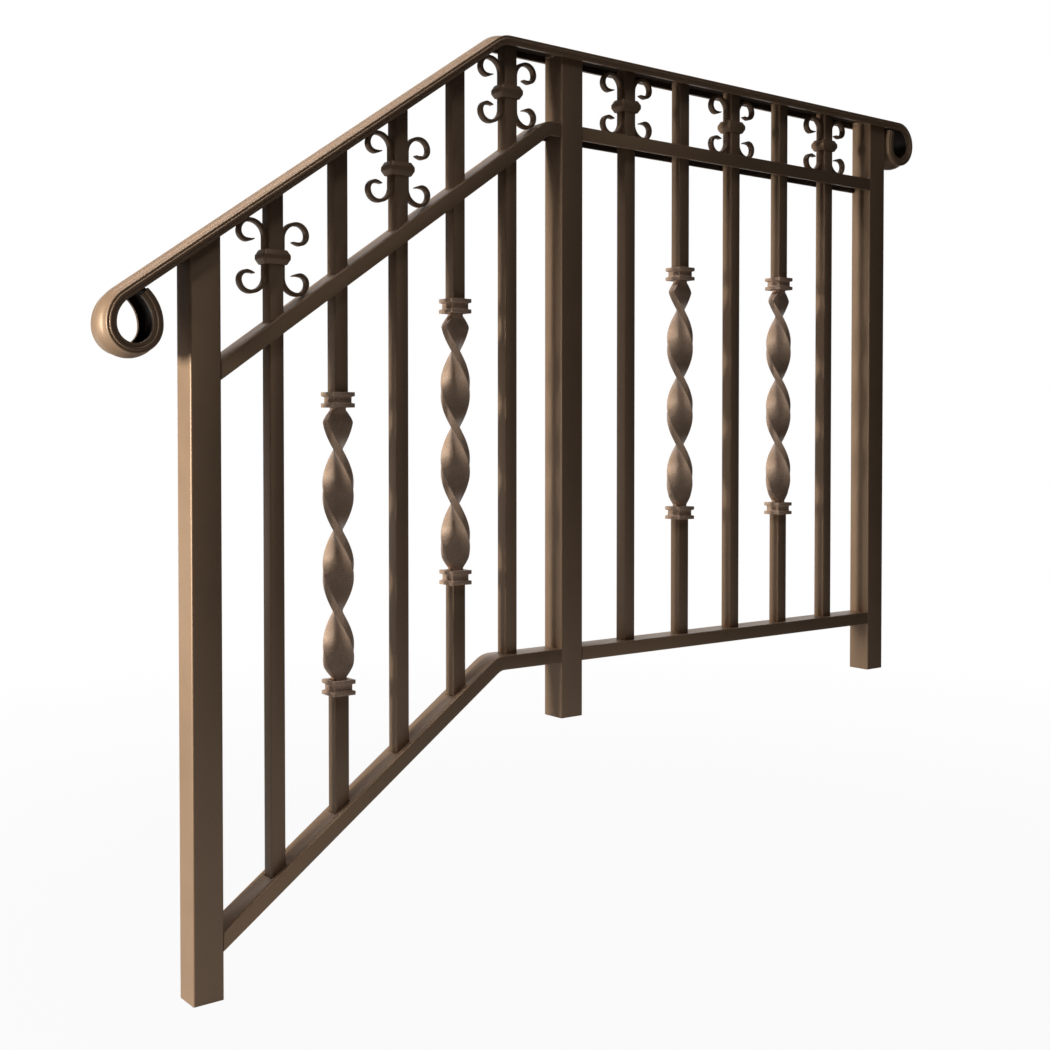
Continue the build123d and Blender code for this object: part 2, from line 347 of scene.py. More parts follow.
def map_range(
    tree: bpy.types.NodeTree, value: bpy.types.NodeSocket, source: Pair, target: Pair
) -> bpy.types.NodeSocket:
    """Adds a node that maps one range of values to another.

    Args:
        tree: The node tree.
        value: Socket with the value.
        source: Ends of the first range.
        target: Ends of the second range.

    Returns:
        Socket with the mapped value.
    """
    node = tree.nodes.new("ShaderNodeMapRange")
    node.inputs["From Min"].default_value = source[0]
    node.inputs["From Max"].default_value = source[1]
    node.inputs["To Min"].default_value = target[0]
    node.inputs["To Max"].default_value = target[1]
    tree.links.new(value, node.inputs["Value"])
    return node.outputs["Result"]


def combine(
    tree: bpy.types.NodeTree,
    operation: str,
    first: bpy.types.NodeSocket,
    second: Union[bpy.types.NodeSocket, float],
) -> bpy.types.NodeSocket:
    """Adds a node that works out one value from two.

    Args:
        tree: The node tree.
        operation: Name of the operation.
        first: Socket with the first value.
        second: Socket with the second value, or the value itself.

    Returns:
        Socket with the result.
    """
    node = tree.nodes.new("ShaderNodeMath")
    node.operation = operation
    tree.links.new(first, node.inputs[0])
    if isinstance(second, float):
        node.inputs[1].default_value = second
    else:
        tree.links.new(second, node.inputs[1])
    return node.outputs[0]


def mirror_ray(tree: bpy.types.NodeTree, path: bpy.types.Node) -> bpy.types.NodeSocket:
    """Adds a node that gives 1 for a reflected or refracted ray.

    Args:
        tree: The node tree.
        path: The tree's light path node.

    Returns:
        Socket with the value.
    """
    return combine(tree, "MAXIMUM", path.outputs["Is Glossy Ray"], path.outputs["Is Transmission Ray"])


def new_material(name: str) -> Tuple[bpy.types.Material, bpy.types.Node]:
    """Makes a material with nodes.

    Args:
        name: Name of the material.

    Returns:
        The material and its shader node.
    """
    material = bpy.data.materials.new(name)
    material.use_nodes = True
    return material, material.node_tree.nodes["Principled BSDF"]


@dataclass(frozen=True)
class BronzeCoat:
    """Bronze powder coat: a metallic brown with a fine grain and slow drifts of tone."""

    name: str = "bronze_powder_coat"
    light_tone: Triple = (0.42, 0.27, 0.172)
    dark_tone: Triple = (0.28, 0.18, 0.115)
    metallic: float = 0.4
    coat_weight: float = 0.3
    coat_roughness: float = 0.42
    roughness_low: float = 0.46
    roughness_high: float = 0.56
    grain_scale: float = 950.0
    grain_detail: float = 3.0
    grain_roughness: float = 0.6
    grain_range: Pair = (0.1, 0.9)
    grain_share: float = 0.55
    drift_scale: float = 22.0
    drift_detail: float = 4.0
    drift_share: float = 0.45
    bump_strength: float = 0.02
    bump_height: float = 0.00025

    def grain_group(self) -> bpy.types.NodeTree:
        """Builds the node group that puts out the coat's fine grain and slow drift as values."""
        group = bpy.data.node_groups.new(self.name + "_grain", "ShaderNodeTree")
        group.interface.new_socket("Place", in_out="INPUT", socket_type="NodeSocketVector")
        group.interface.new_socket("Grain", in_out="OUTPUT", socket_type="NodeSocketFloat")
        group.interface.new_socket("Drift", in_out="OUTPUT", socket_type="NodeSocketFloat")
        nodes = group.nodes
        links = group.links
        source = nodes.new("NodeGroupInput")
        target = nodes.new("NodeGroupOutput")
        grain = nodes.new("ShaderNodeTexNoise")
        grain.inputs["Scale"].default_value = self.grain_scale
        grain.inputs["Detail"].default_value = self.grain_detail
        grain.inputs["Roughness"].default_value = self.grain_roughness
        drift = nodes.new("ShaderNodeTexNoise")
        drift.inputs["Scale"].default_value = self.drift_scale
        drift.inputs["Detail"].default_value = self.drift_detail
        links.new(source.outputs["Place"], grain.inputs["Vector"])
        links.new(source.outputs["Place"], drift.inputs["Vector"])
        stretched = map_range(group, grain.outputs["Fac"], self.grain_range, (0.0, 1.0))
        links.new(stretched, target.inputs["Grain"])
        links.new(drift.outputs["Fac"], target.inputs["Drift"])
        return group

    def build(self) -> bpy.types.Material:
        """Builds the material."""
        material, shader = new_material(self.name)
        tree = material.node_tree
        nodes = tree.nodes
        links = tree.links
        shader.inputs["Metallic"].default_value = self.metallic
        shader.inputs["Coat Weight"].default_value = self.coat_weight
        shader.inputs["Coat Roughness"].default_value = self.coat_roughness
        place = nodes.new("ShaderNodeTexCoord")
        group = nodes.new("ShaderNodeGroup")
        group.node_tree = self.grain_group()
        links.new(place.outputs["Object"], group.inputs["Place"])
        grain = combine(tree, "MULTIPLY", group.outputs["Grain"], self.grain_share)
        drift = combine(tree, "MULTIPLY", group.outputs["Drift"], self.drift_share)
        tone = nodes.new("ShaderNodeMix")
        tone.data_type = "RGBA"
        tone.inputs["A"].default_value = (*self.dark_tone, 1.0)
        tone.inputs["B"].default_value = (*self.light_tone, 1.0)
        links.new(combine(tree, "ADD", grain, drift), tone.inputs["Factor"])
        links.new(tone.outputs["Result"], shader.inputs["Base Color"])
        roughness = (self.roughness_low, self.roughness_high)
        sheen = map_range(tree, group.outputs["Drift"], (0.0, 1.0), roughness)
        links.new(sheen, shader.inputs["Roughness"])
        bump = nodes.new("ShaderNodeBump")
        bump.inputs["Strength"].default_value = self.bump_strength
        bump.inputs["Distance"].default_value = self.bump_height
        links.new(group.outputs["Grain"], bump.inputs["Height"])
        links.new(bump.outputs["Normal"], shader.inputs["Normal"])
        return material


@dataclass(frozen=True)
class CastCoatWithPaintedSheen(BronzeCoat):
    """Coat of the leaves and collars, duller and with a coarser grain; its lighter tones are painted sheen,
    standing in for the light that the leaves catch.
    """

    name: str = "leaf_coat_with_painted_sheen"
    # lighter than the bronze coat: these tones are painted sheen
    light_tone: Triple = (0.82, 0.57, 0.42)
    dark_tone: Triple = (0.40, 0.275, 0.20)
    metallic: float = 0.25
    coat_weight: float = 0.2
    coat_roughness: float = 0.5
    roughness_low: float = 0.50
    roughness_high: float = 0.60
    grain_scale: float = 620.0
    grain_range: Pair = (0.34, 0.66)
    bump_strength: float = 0.2


@dataclass(frozen=True)
class PaintedChannelShade:
    """Painted shade: a plain dark material for the inner faces of the channels, standing in for the shadow
    there.
    """

    name: str = "painted_channel_shade"
    # painted shade: this dark tone stands in for the shadow inside the channels
    tone: Triple = (0.05, 0.032, 0.022)
    roughness: float = 0.45
    gloss: float = 0.4

    def build(self) -> bpy.types.Material:
        """Builds the material."""
        material, shader = new_material(self.name)
        shader.inputs["Base Color"].default_value = (*self.tone, 1.0)
        shader.inputs["Roughness"].default_value = self.roughness
        shader.inputs["Specular IOR Level"].default_value = self.gloss
        return material


@dataclass
class Assembly:
    """A sub-assembly of the railing, with the materials of bars, of leaves and collars, and of channels: a
    plain coat, a coat whose lighter tone is painted sheen, and painted shade.
    """

    coat: bpy.types.Material
    # coat of the leaves and collars; its lighter tone is painted sheen
    painted_sheen_coat: bpy.types.Material
    # dark material of painted shade for the inner faces of the channels
    shade: bpy.types.Material

    def hand_over(self, piece: bpy.types.Object, *nodes: str) -> bpy.types.Object:
        """Paints a finished piece and lets it stand for nodes of the frame.

        Args:
            piece: The finished piece.
            nodes: The nodes that it replaces.

        Returns:
            The piece.
        """
        piece.data.materials.clear()
        piece.data.materials.append(self.coat)
        for face in piece.data.polygons:
            face.material_index = 0
        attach(piece, BODY)
        if nodes:
            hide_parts(*nodes)
        return piece

    def repaint(self, piece: bpy.types.Object, finish: bpy.types.Material, test: FaceTest) -> None:
        """Gives another material to some faces of a finished piece; it is used for the painted shade of the
        channels and for the coat with painted sheen.

        Args:
            piece: The finished piece.
            finish: The other material.
            test: Tells whether a face gets it.
        """
        piece.data.materials.append(finish)
        index = len(piece.data.materials) - 1
        for face in piece.data.polygons:
            if test(face):
                face.material_index = index

    def paint_shade_in_channel(self, piece: bpy.types.Object, half_width: float) -> None:
        """Paints shade on the inner faces of a channel that is open downwards, giving them the dark material
        of painted shade.

        Args:
            piece: The finished piece.
            half_width: Half of the channel's clear width.
        """
        corners = piece.data.vertices

        def inside(face: bpy.types.MeshPolygon) -> bool:
            """Tells whether a face is a wall of the channel or a part of its roof."""
            places = [corners[index].co.y for index in face.vertices]
            spread = max(places) - min(places)
            furthest = max(abs(place) for place in places)
            if furthest > half_width + CHANNEL_NEAR:
                return False
            wall = spread < CHANNEL_NEAR and furthest > half_width - CHANNEL_NEAR
            inward = face.normal.y * face.center.y < 0
            roof = half_width - CHANNEL_NEAR < spread < 2 * half_width + CHANNEL_NEAR
            return (wall and inward) or roof

        self.repaint(piece, self.shade, inside)


@dataclass
class Framework(Assembly):
    """Posts, rails and plain balusters, copied from their nodes, with softened edges."""

    tube_rounding: float = 0.0009
    bar_rounding: float = 0.0005
    rail_channel_half: float = 0.01455
    posts: Tuple[str, ...] = ("lower_post", "middle_post", "upper_post")
    rails: Tuple[str, ...] = (
        "bottom_rail_flight",
        "bottom_rail_landing",
        "mid_rail_flight",
        "mid_rail_landing",
    )

    def build(self) -> None:
        """Dresses every post, rail and plain baluster."""
        for node in self.posts:
            self.dress(node, self.tube_rounding)
        for node in self.rails:
            rail = self.dress(node, self.tube_rounding)
            # the rail's channel gets painted shade on its inner faces
            self.paint_shade_in_channel(rail, self.rail_channel_half)
        for node in sorted(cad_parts):
            if node.startswith("plain_baluster"):
                self.dress(node, self.bar_rounding)

    def dress(self, node: str, rounding: float) -> bpy.types.Object:
        """Copies one node and rounds its edges.

        Args:
            node: Name of the node.
            rounding: Width of the rounding.

        Returns:
            The finished copy.
        """
        piece = copy_node(node, "iron_" + node)
        soften(piece, rounding)
        return self.hand_over(piece, node)


@dataclass
class Handrail(Assembly):
    """Moulded cap rail that runs along the landing and the flight and curls over at both ends."""

    flight_angle: float = math.radians(35.5)
    bend_radius: float = 0.030
    crest_gap: float = 0.001
    lower_overhang: float = 0.0929
    lower_curl: Tuple[Pair, ...] = ((0.0325, 61.0), (0.021, 170.0), (0.041, 52.0))
    upper_curl: Tuple[Pair, ...] = ((0.024, 180.0), (0.0165, 90.0), (0.150, 10.0))
    upper_post_gap: float = 0.001
    side_half: float = 0.0244
    channel_half: float = 0.0193
    channel_depth: float = 0.0080
    lip_rounding: float = 0.0004
    groove_base: float = 0.0036
    groove_radius: float = 0.0006
    groove_depth: float = 0.0004
    bead_radius: float = 0.0019
    bead_swell: float = 0.0009
    shoulder_height: float = 0.0122
    shoulder_radius: float = 0.0018
    crown_half: float = 0.0145
    crown_top: float = 0.0160
    crown_steps: int = 8
    shoulder_steps: int = 5
    bead_steps: int = 8
    groove_steps: int = 4
    lip_steps: int = 3
    turn_step: float = math.radians(4.0)
    smooth_angle: float = 32.0

    def half_section(self) -> List[Pair]:
        """Returns the right half of the section, from the crown down to the channel's roof."""
        sagitta = self.crown_top - self.shoulder_height
        radius = (self.crown_half ** 2 + sagitta ** 2) / (2 * sagitta)
        spread = math.degrees(math.asin(self.crown_half / radius))
        crown = (0.0, self.crown_top - radius)
        points = arc_points(crown, radius, 90.0, 90.0 - spread, self.crown_steps)
        shoulder = (self.side_half - self.shoulder_radius, self.shoulder_height - self.shoulder_radius)
        points += arc_points(shoulder, self.shoulder_radius, 90.0, 0.0, self.shoulder_steps)
        bead_base = self.groove_base + 2 * self.groove_radius
        bead_z = bead_base + self.bead_radius
        squash = self.bead_swell / self.bead_radius
        bead = arc_points((0.0, bead_z), self.bead_radius, 90.0, -90.0, self.bead_steps)
        points += [(self.side_half + squash * y, z) for y, z in bead]
        groove_z = self.groove_base + self.groove_radius
        groove = arc_points((0.0, groove_z), self.groove_radius, 90.0, 270.0, self.groove_steps)
        hollow = self.groove_depth / self.groove_radius
        points += [(self.side_half + hollow * y, z) for y, z in groove[1:]]
        lip = self.lip_rounding
        points += arc_points((self.side_half - lip, lip), lip, 0.0, -90.0, self.lip_steps)
        points += arc_points((self.channel_half + lip, lip), lip, 270.0, 180.0, self.lip_steps)
        points += [(self.channel_half, self.channel_depth), (0.0, self.channel_depth)]
        return points

    def section(self, x: float, lip_z: float) -> List[Vector]:
        """Returns the closed section standing at a place along the rail.

        Args:
            x: Place of the section.
            lip_z: Height of the lip.

        Returns:
            The outline's points in order.
        """
        right = self.half_section()
        left = [(-y, z) for y, z in reversed(right[1:-1])]
        return [Vector((x, y, lip_z + z)) for y, z in right + left]

    def run_curl(self, start: Vector, heading: float, arcs: Tuple[Pair, ...], hand: int) -> None:
        """Spins the open end of the rail along arcs that follow on from one another.

        Args:
            start: Point of the lip line at the end.
            heading: Direction of travel in the XZ plane in radians.
            arcs: Radius and angle in degrees of each arc.
            hand: 1 for a turn from +X towards +Z, -1 for the other way.
        """
        here = start.copy()
        for radius, degrees in arcs:
            side = Vector((-math.sin(heading), 0.0, math.cos(heading))) * hand
            centre = here + side * radius
            angle = math.radians(degrees) * hand
            turn(centre, angle, self.turn_step)
            heading += angle
            side = Vector((-math.sin(heading), 0.0, math.cos(heading))) * hand
            here = centre - side * radius

    def build(self) -> None:
        """Builds the rail from its section at the middle post, down the flight and then along the landing."""
        lip_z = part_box("handrail")[1].z - self.crown_top
        middle_x = node_centre("middle_post").x
        level_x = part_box("plain_baluster_3")[0].x - self.crest_gap
        lower_x = node_centre("lower_post").x - self.lower_overhang
        crown_reach = self.upper_curl[1][0] + self.crown_top
        upper_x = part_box("upper_post")[1].x + self.upper_post_gap + crown_reach
        slope = Vector((-math.cos(self.flight_angle), 0.0, -math.sin(self.flight_angle)))

        piece = draw_outline("iron_handrail", self.section(middle_x, lip_z))
        push(Vector((level_x - middle_x, 0.0, 0.0)))
        turn(Vector((level_x, 0.0, lip_z - self.bend_radius)), self.flight_angle, self.turn_step)
        bend_x = level_x - self.bend_radius * math.sin(self.flight_angle)
        bend_z = lip_z - self.bend_radius * (1.0 - math.cos(self.flight_angle))
        length = (bend_x - lower_x) / math.cos(self.flight_angle)
        push(slope * length)
        start = Vector((bend_x, 0.0, bend_z)) + slope * length
        self.run_curl(start, math.pi + self.flight_angle, self.lower_curl, 1)

        select_faces_at(piece, Axis.X, middle_x)
        push(Vector((upper_x - middle_x, 0.0, 0.0)))
        self.run_curl(Vector((upper_x, 0.0, lip_z)), 0.0, self.upper_curl, -1)
        select_faces_at(piece, Axis.X, middle_x)
        bpy.ops.mesh.delete(type="FACE")
        close_solid(piece)
        smooth(piece, self.smooth_angle)
        self.hand_over(piece, "handrail")
        # the handrail's channel gets painted shade on its inner faces
        self.paint_shade_in_channel(piece, self.channel_half)


@dataclass
class ScrollSet(Assembly):
    """Forged C scrolls that stand back to back on the plain balusters, each pair held by a band."""

    strip_thickness: float = 0.0045
    strip_depth: float = 0.009
    bar_half: float = 0.009525
    lead_radius: float = 0.0192
    eye_radius: float = 0.01375
    tail_radius: float = 0.01025
    tip_length: float = 0.009
    tip_rise: float = 0.0018
    tip_thickness: float = 0.0014
    tip_steps: int = 5
    edge_rounding: float = 0.0007
    edge_angle: float = 40.0
    edge_segments: int = 2
    turn_step: float = math.radians(6.0)
    band_corner: float = 0.0022
    band_bevel: float = 0.0034
    band_bevel_height: float = 0.0063
    band_rounding: float = 0.0010
    band_angle: float = 20.0
    band_segments: int = 3
    count: int = 6

    def strip(self, half_height: float) -> bpy.types.Object:
        """Builds one right-hand scroll about the origin.

        Args:
            half_height: Height of the scroll's top above its middle.

        Returns:
            The scroll, with the bar's axis at X 0.
        """
        middle_x = self.bar_half + self.strip_thickness / 2
        across = self.strip_thickness / 2
        deep = self.strip_depth / 2
        corners = [(-across, -deep), (across, -deep), (across, deep), (-across, deep)]
        top = half_height - self.strip_thickness / 2
        lead_z = top - self.lead_radius
        piece = draw_outline("scroll", [Vector((middle_x + x, y, 0.0)) for x, y in corners])
        push(Vector((0.0, 0.0, lead_z)))
        centre = Vector((middle_x + self.lead_radius, 0.0, lead_z))
        turn(centre, -math.pi / 2, self.turn_step)
        centre.z = top - self.eye_radius
        turn(centre, -math.pi / 2, self.turn_step)
        end_x = centre.x + self.eye_radius
        centre = Vector((end_x - self.tail_radius, 0.0, centre.z))
        turn(centre, -math.pi / 2, self.turn_step)
        tail = Vector((centre.x, 0.0, centre.z - self.tail_radius))
        thick = self.strip_thickness
        for index in range(self.tip_steps):
            share = (index + 1) / self.tip_steps
            past = index / self.tip_steps
            rise = self.tip_rise * (share ** 2 - past ** 2)
            push(Vector((-self.tip_length / self.tip_steps, 0.0, rise)))
            tail += Vector((-self.tip_length / self.tip_steps, 0.0, rise))
            wanted = self.strip_thickness + (self.tip_thickness - self.strip_thickness) * share
            bpy.ops.transform.resize(value=(1.0, 1.0, wanted / thick), center_override=tail)
            thick = wanted
        select_faces_at(piece, Axis.Z, 0.0)
        bpy.ops.mesh.delete(type="FACE")
        bpy.ops.object.mode_set(mode="OBJECT")
        mirror = piece.modifiers.new("lower_half", "MIRROR")
        mirror.use_axis = (False, False, True)
        mirror.merge_threshold = MERGE_GAP
        apply_modifiers(piece)
        close_solid(piece)
        soften(piece, self.edge_rounding, self.edge_segments, self.edge_angle)
        return piece

    def band(self, size: Vector) -> bpy.types.Object:
        """Builds one band about the origin: a ridged block that draws in towards both rims.

        Args:
            size: Outer size of the band.

        Returns:
            The band.
        """
        ridge = size.z - 2 * self.band_bevel_height
        piece = new_block("band", (size.x, size.y, ridge))
        round_upright_edges(piece, self.band_corner)
        inset = 2 * self.band_bevel
        factor = ((size.x - inset) / size.x, (size.y - inset) / size.y, 1.0)
        for sign in (1, -1):
            select_faces_at(piece, Axis.Z, sign * ridge / 2)
            push(Vector((0.0, 0.0, sign * self.band_bevel_height)))
            bpy.ops.transform.resize(value=factor, center_override=(0.0, 0.0, sign * size.z / 2))
        close_solid(piece)
        soften(piece, self.band_rounding, self.band_segments, self.band_angle)
        return piece

    def build(self) -> None:
        """Builds one scroll and one band and copies them to every place."""
        low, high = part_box("scroll_right_1")
        scroll = self.strip((high.z - low.z) / 2)
        low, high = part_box("scroll_band_1")
        band = self.band(high - low)
        for number in range(1, self.count + 1):
            centre = node_centre(f"scroll_band_{number}")
            for side in Side:
                node = f"scroll_{side.name.lower()}_{number}"
                move = Matrix.Translation(centre) @ Matrix.Diagonal((side.value, 1.0, 1.0, 1.0))
                piece = copy_piece(scroll, "iron_" + node, move)
                self.hand_over(piece, node)
            piece = copy_piece(band, f"iron_scroll_band_{number}", Matrix.Translation(centre))
            self.hand_over(piece, f"scroll_band_{number}")
        for source in (scroll, band):
            bpy.data.objects.remove(source)


@dataclass
class TwistedBalusters(Assembly):
    """Balusters with a flat twisted leaf between two collars."""

    leaf_width: float = 0.0375
    leaf_thickness: float = 0.0115
    leaf_length: float = 0.3015
    leaf_turn: float = math.radians(540.0)
    leaf_edge: float = 0.0012
    leaf_cuts: int = 119
    leaf_smooth_angle: float = 33.0
    neck_size: float = 0.015
    neck_length: float = 0.00325
    neck_depth: float = 0.006
    flare_steps: int = 8
    flare_power: float = 1.35
    bar_rounding: float = 0.0005
    collar_rounding: float = 0.0006
    flange_reach: float = 0.003
    screw_radius: float = 0.0021
    screw_length: float = 0.004
    screw_sides: int = 24
    screw_sink: float = 0.0018
    screw_rounding: float = 0.0002
    screw_angle: float = 40.0
    socket_radius: float = 0.0012
    socket_depth: float = 0.0016
    count: int = 4

    def leaf(self, span: float) -> bpy.types.Object:
        """Builds the twisted leaf with its necks about the origin.

        Args:
            span: Clear height between the two collars.

        Returns:
            The leaf, with necks that reach into the collars.
        """
        piece = new_block("leaf", (self.leaf_width, self.leaf_thickness, self.leaf_length))
        round_upright_edges(piece, self.leaf_edge)
        select_upright_edges(piece)
        bpy.ops.mesh.subdivide(number_cuts=self.leaf_cuts)
        for sign in (1, -1):
            self.flare(piece, sign, (span - self.leaf_length) / 2)
        bpy.ops.object.mode_set(mode="OBJECT")
        whole = span + 2 * self.neck_depth
        twist = piece.modifiers.new("leaf_twist", "SIMPLE_DEFORM")
        twist.deform_method = "TWIST"
        twist.deform_axis = "Z"
        twist.angle = -self.leaf_turn
        share = (whole - self.leaf_length) / 2 / whole
        twist.limits = (share, 1.0 - share)
        apply_modifiers(piece)
        edit(piece)
        half_turn = self.leaf_turn / 2
        bpy.ops.transform.rotate(value=half_turn, orient_axis="Z", center_override=(0.0, 0.0, 0.0))
        close_solid(piece)
        smooth(piece, self.leaf_smooth_angle)
        return piece

    def flare(self, piece: bpy.types.Object, sign: int, length: float) -> None:
        """Draws one end of the open leaf in to its square neck.

        Args:
            piece: The leaf, open in edit mode.
            sign: 1 for the top end, -1 for the bottom end.
            length: Height of the flare.
        """
        end = sign * self.leaf_length / 2
        select_faces_at(piece, Axis.Z, end)
        width = self.leaf_width
        thick = self.leaf_thickness
        height = end
        step = sign * (length - self.neck_length) / self.flare_steps
        for index in range(1, self.flare_steps + 1):
            share = index / self.flare_steps
            narrowing = share ** self.flare_power
            push(Vector((0.0, 0.0, step)))
            height += step
            new_width = self.leaf_width + (self.neck_size - self.leaf_width) * narrowing
            new_thick = self.leaf_thickness + (self.neck_size - self.leaf_thickness) * share
            factor = (new_width / width, new_thick / thick, 1.0)
            bpy.ops.transform.resize(value=factor, center_override=(0.0, 0.0, height))
            width = new_width
            thick = new_thick
        push(Vector((0.0, 0.0, sign * (self.neck_length + self.neck_depth))))

    def bar_end(self, number: int, level: float, keep_above: bool) -> bpy.types.Object:
        """Cuts one plain end of a baluster out of a copy of its node.

        Args:
            number: Number of the baluster.
            level: Height of the cut, inside the collar.
            keep_above: True for the upper end.

        Returns:
            The closed bar end.
        """
        piece = copy_node(f"twisted_baluster_{number}", "bar_end")
        edit(piece)
        bpy.ops.mesh.bisect(
            plane_co=(0.0, 0.0, level),
            plane_no=(0.0, 0.0, 1.0),
            use_fill=True,
            clear_inner=keep_above,
            clear_outer=not keep_above,
        )
        bpy.ops.object.mode_set(mode="OBJECT")
        soften(piece, self.bar_rounding)
        return piece

    def screw(self, reach: float) -> bpy.types.Object:
        """Builds the set screw of a collar: a short pin with a round socket, facing -X.

        Args:
            reach: Distance of the collar's waist face from the axis.

        Returns:
            The screw about the collar's middle.
        """
        deselect_all()
        bpy.ops.mesh.primitive_cylinder_add(
            vertices=self.screw_sides, radius=self.screw_radius, depth=self.screw_length, location=(0, 0, 0)
        )
        piece = bpy.context.object
        piece.name = "set_screw"
        edit(piece)
        select_faces_at(piece, Axis.Z, self.screw_length / 2)
        bpy.ops.mesh.inset(thickness=self.screw_radius - self.socket_radius)
        push(Vector((0.0, 0.0, -self.socket_depth)))
        bpy.ops.object.mode_set(mode="OBJECT")
        move = Matrix.Translation((-reach + self.screw_sink, 0, 0))
        piece.data.transform(move @ Matrix.Rotation(-math.pi / 2, 4, "Y"))
        close_solid(piece)
        soften(piece, self.screw_rounding, segments=1, angle=self.screw_angle)
        return piece

    def build(self) -> None:
        """Builds every twisted baluster with its collars and screws."""
        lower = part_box("lower_collar_1")
        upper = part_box("upper_collar_1")
        span = upper[0].z - lower[1].z
        leaf = self.leaf(span)
        screw = self.screw((lower[1].x - lower[0].x) / 2 - self.flange_reach)
        for number in range(1, self.count + 1):
            below = node_centre(f"lower_collar_{number}")
            above = node_centre(f"upper_collar_{number}")
            parts = [
                copy_piece(leaf, f"iron_twisted_baluster_{number}", Matrix.Translation((below + above) / 2)),
                self.bar_end(number, below.z, False),
                self.bar_end(number, above.z, True),
            ]
            baluster = join_pieces(parts)
            self.hand_over(baluster, f"twisted_baluster_{number}")
            # the leaf between the collars gets the lighter coat, whose tone is painted sheen
            self.repaint(baluster, self.painted_sheen_coat, lambda face: below.z < face.center.z < above.z)
            for place in ("lower", "upper"):
                node = f"{place}_collar_{number}"
                piece = copy_node(node, "iron_" + node)
                soften(piece, self.collar_rounding)
                self.hand_over(piece, node)
                # the collars get the lighter coat too, whose tone is painted sheen
                self.repaint(piece, self.painted_sheen_coat, lambda face: True)
                move = Matrix.Translation(node_centre(node))
                self.hand_over(copy_piece(screw, f"{place}_set_screw_{number}", move))
        for source in (leaf, screw):
            bpy.data.objects.remove(source)


@dataclass
class WeldBeads(Assembly):
    """Rough weld beads where the posts meet the handrail, each a row of overlapping drops."""

    drop_radius: float = 0.0026
    drop_spacing: float = 0.0034
    drop_squash: float = 0.75
    drop_segments: int = 14
    drop_rings: int = 8
    drops: int = 10
    sway: float = 0.0007
    sway_turn: float = 2.4
    swell: float = 0.18
    swell_turn: float = 1.7
    swell_start: float = 0.6
    smooth_angle: float = 60.0
    roof_drop: float = 0.0012

    def bead(self, name: str, start: Vector, step: Vector) -> bpy.types.Object:
        """Builds one bead as a row of squashed drops along a line.

        Args:
            name: Name of the bead.
            start: Middle of the first drop.
            step: Step from one drop to the next.

        Returns:
            The bead.
        """
        drops = []
        for index in range(self.drops):
            rise = math.sin(self.sway_turn * index) * self.sway
            bulge = math.sin(self.swell_turn * index + self.swell_start) * self.swell
            size = self.drop_radius * (1.0 + bulge)
            place = start + step * index + Vector((0.0, 0.0, rise))
            deselect_all()
            bpy.ops.mesh.primitive_uv_sphere_add(
                segments=self.drop_segments, ring_count=self.drop_rings, radius=size, location=(0, 0, 0)
            )
            drop = bpy.context.object
            edit(drop)
            bpy.ops.transform.resize(value=(self.drop_squash, 1.0, 1.0), center_override=(0, 0, 0))
            bpy.ops.transform.translate(value=place)
            bpy.ops.object.mode_set(mode="OBJECT")
            drops.append(drop)
        bead = join_pieces(drops)
        bead.name = name
        bead.data.name = name
        smooth(bead, self.smooth_angle)
        return bead

    def build(self) -> None:
        """Builds a bead under the handrail on the -X face of the middle and the upper post."""
        lip_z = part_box("handrail")[1].z - Handrail.crown_top
        bead_z = lip_z + Handrail.channel_depth - self.roof_drop
        width = self.drop_spacing * (self.drops - 1)
        for post in ("middle_post", "upper_post"):
            start = Vector((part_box(post)[0].x, -width / 2, bead_z))
            bead = self.bead(f"weld_bead_{post}", start, Vector((0.0, self.drop_spacing, 0.0)))
            self.hand_over(bead)


@dataclass(frozen=True)
class Lamp:
    """A round soft lamp; its size is its width in metres and its power is in watts."""

    name: str
    place: Triple
    size: float
    power: float
    tint: Triple = (1.0, 1.0, 1.0)


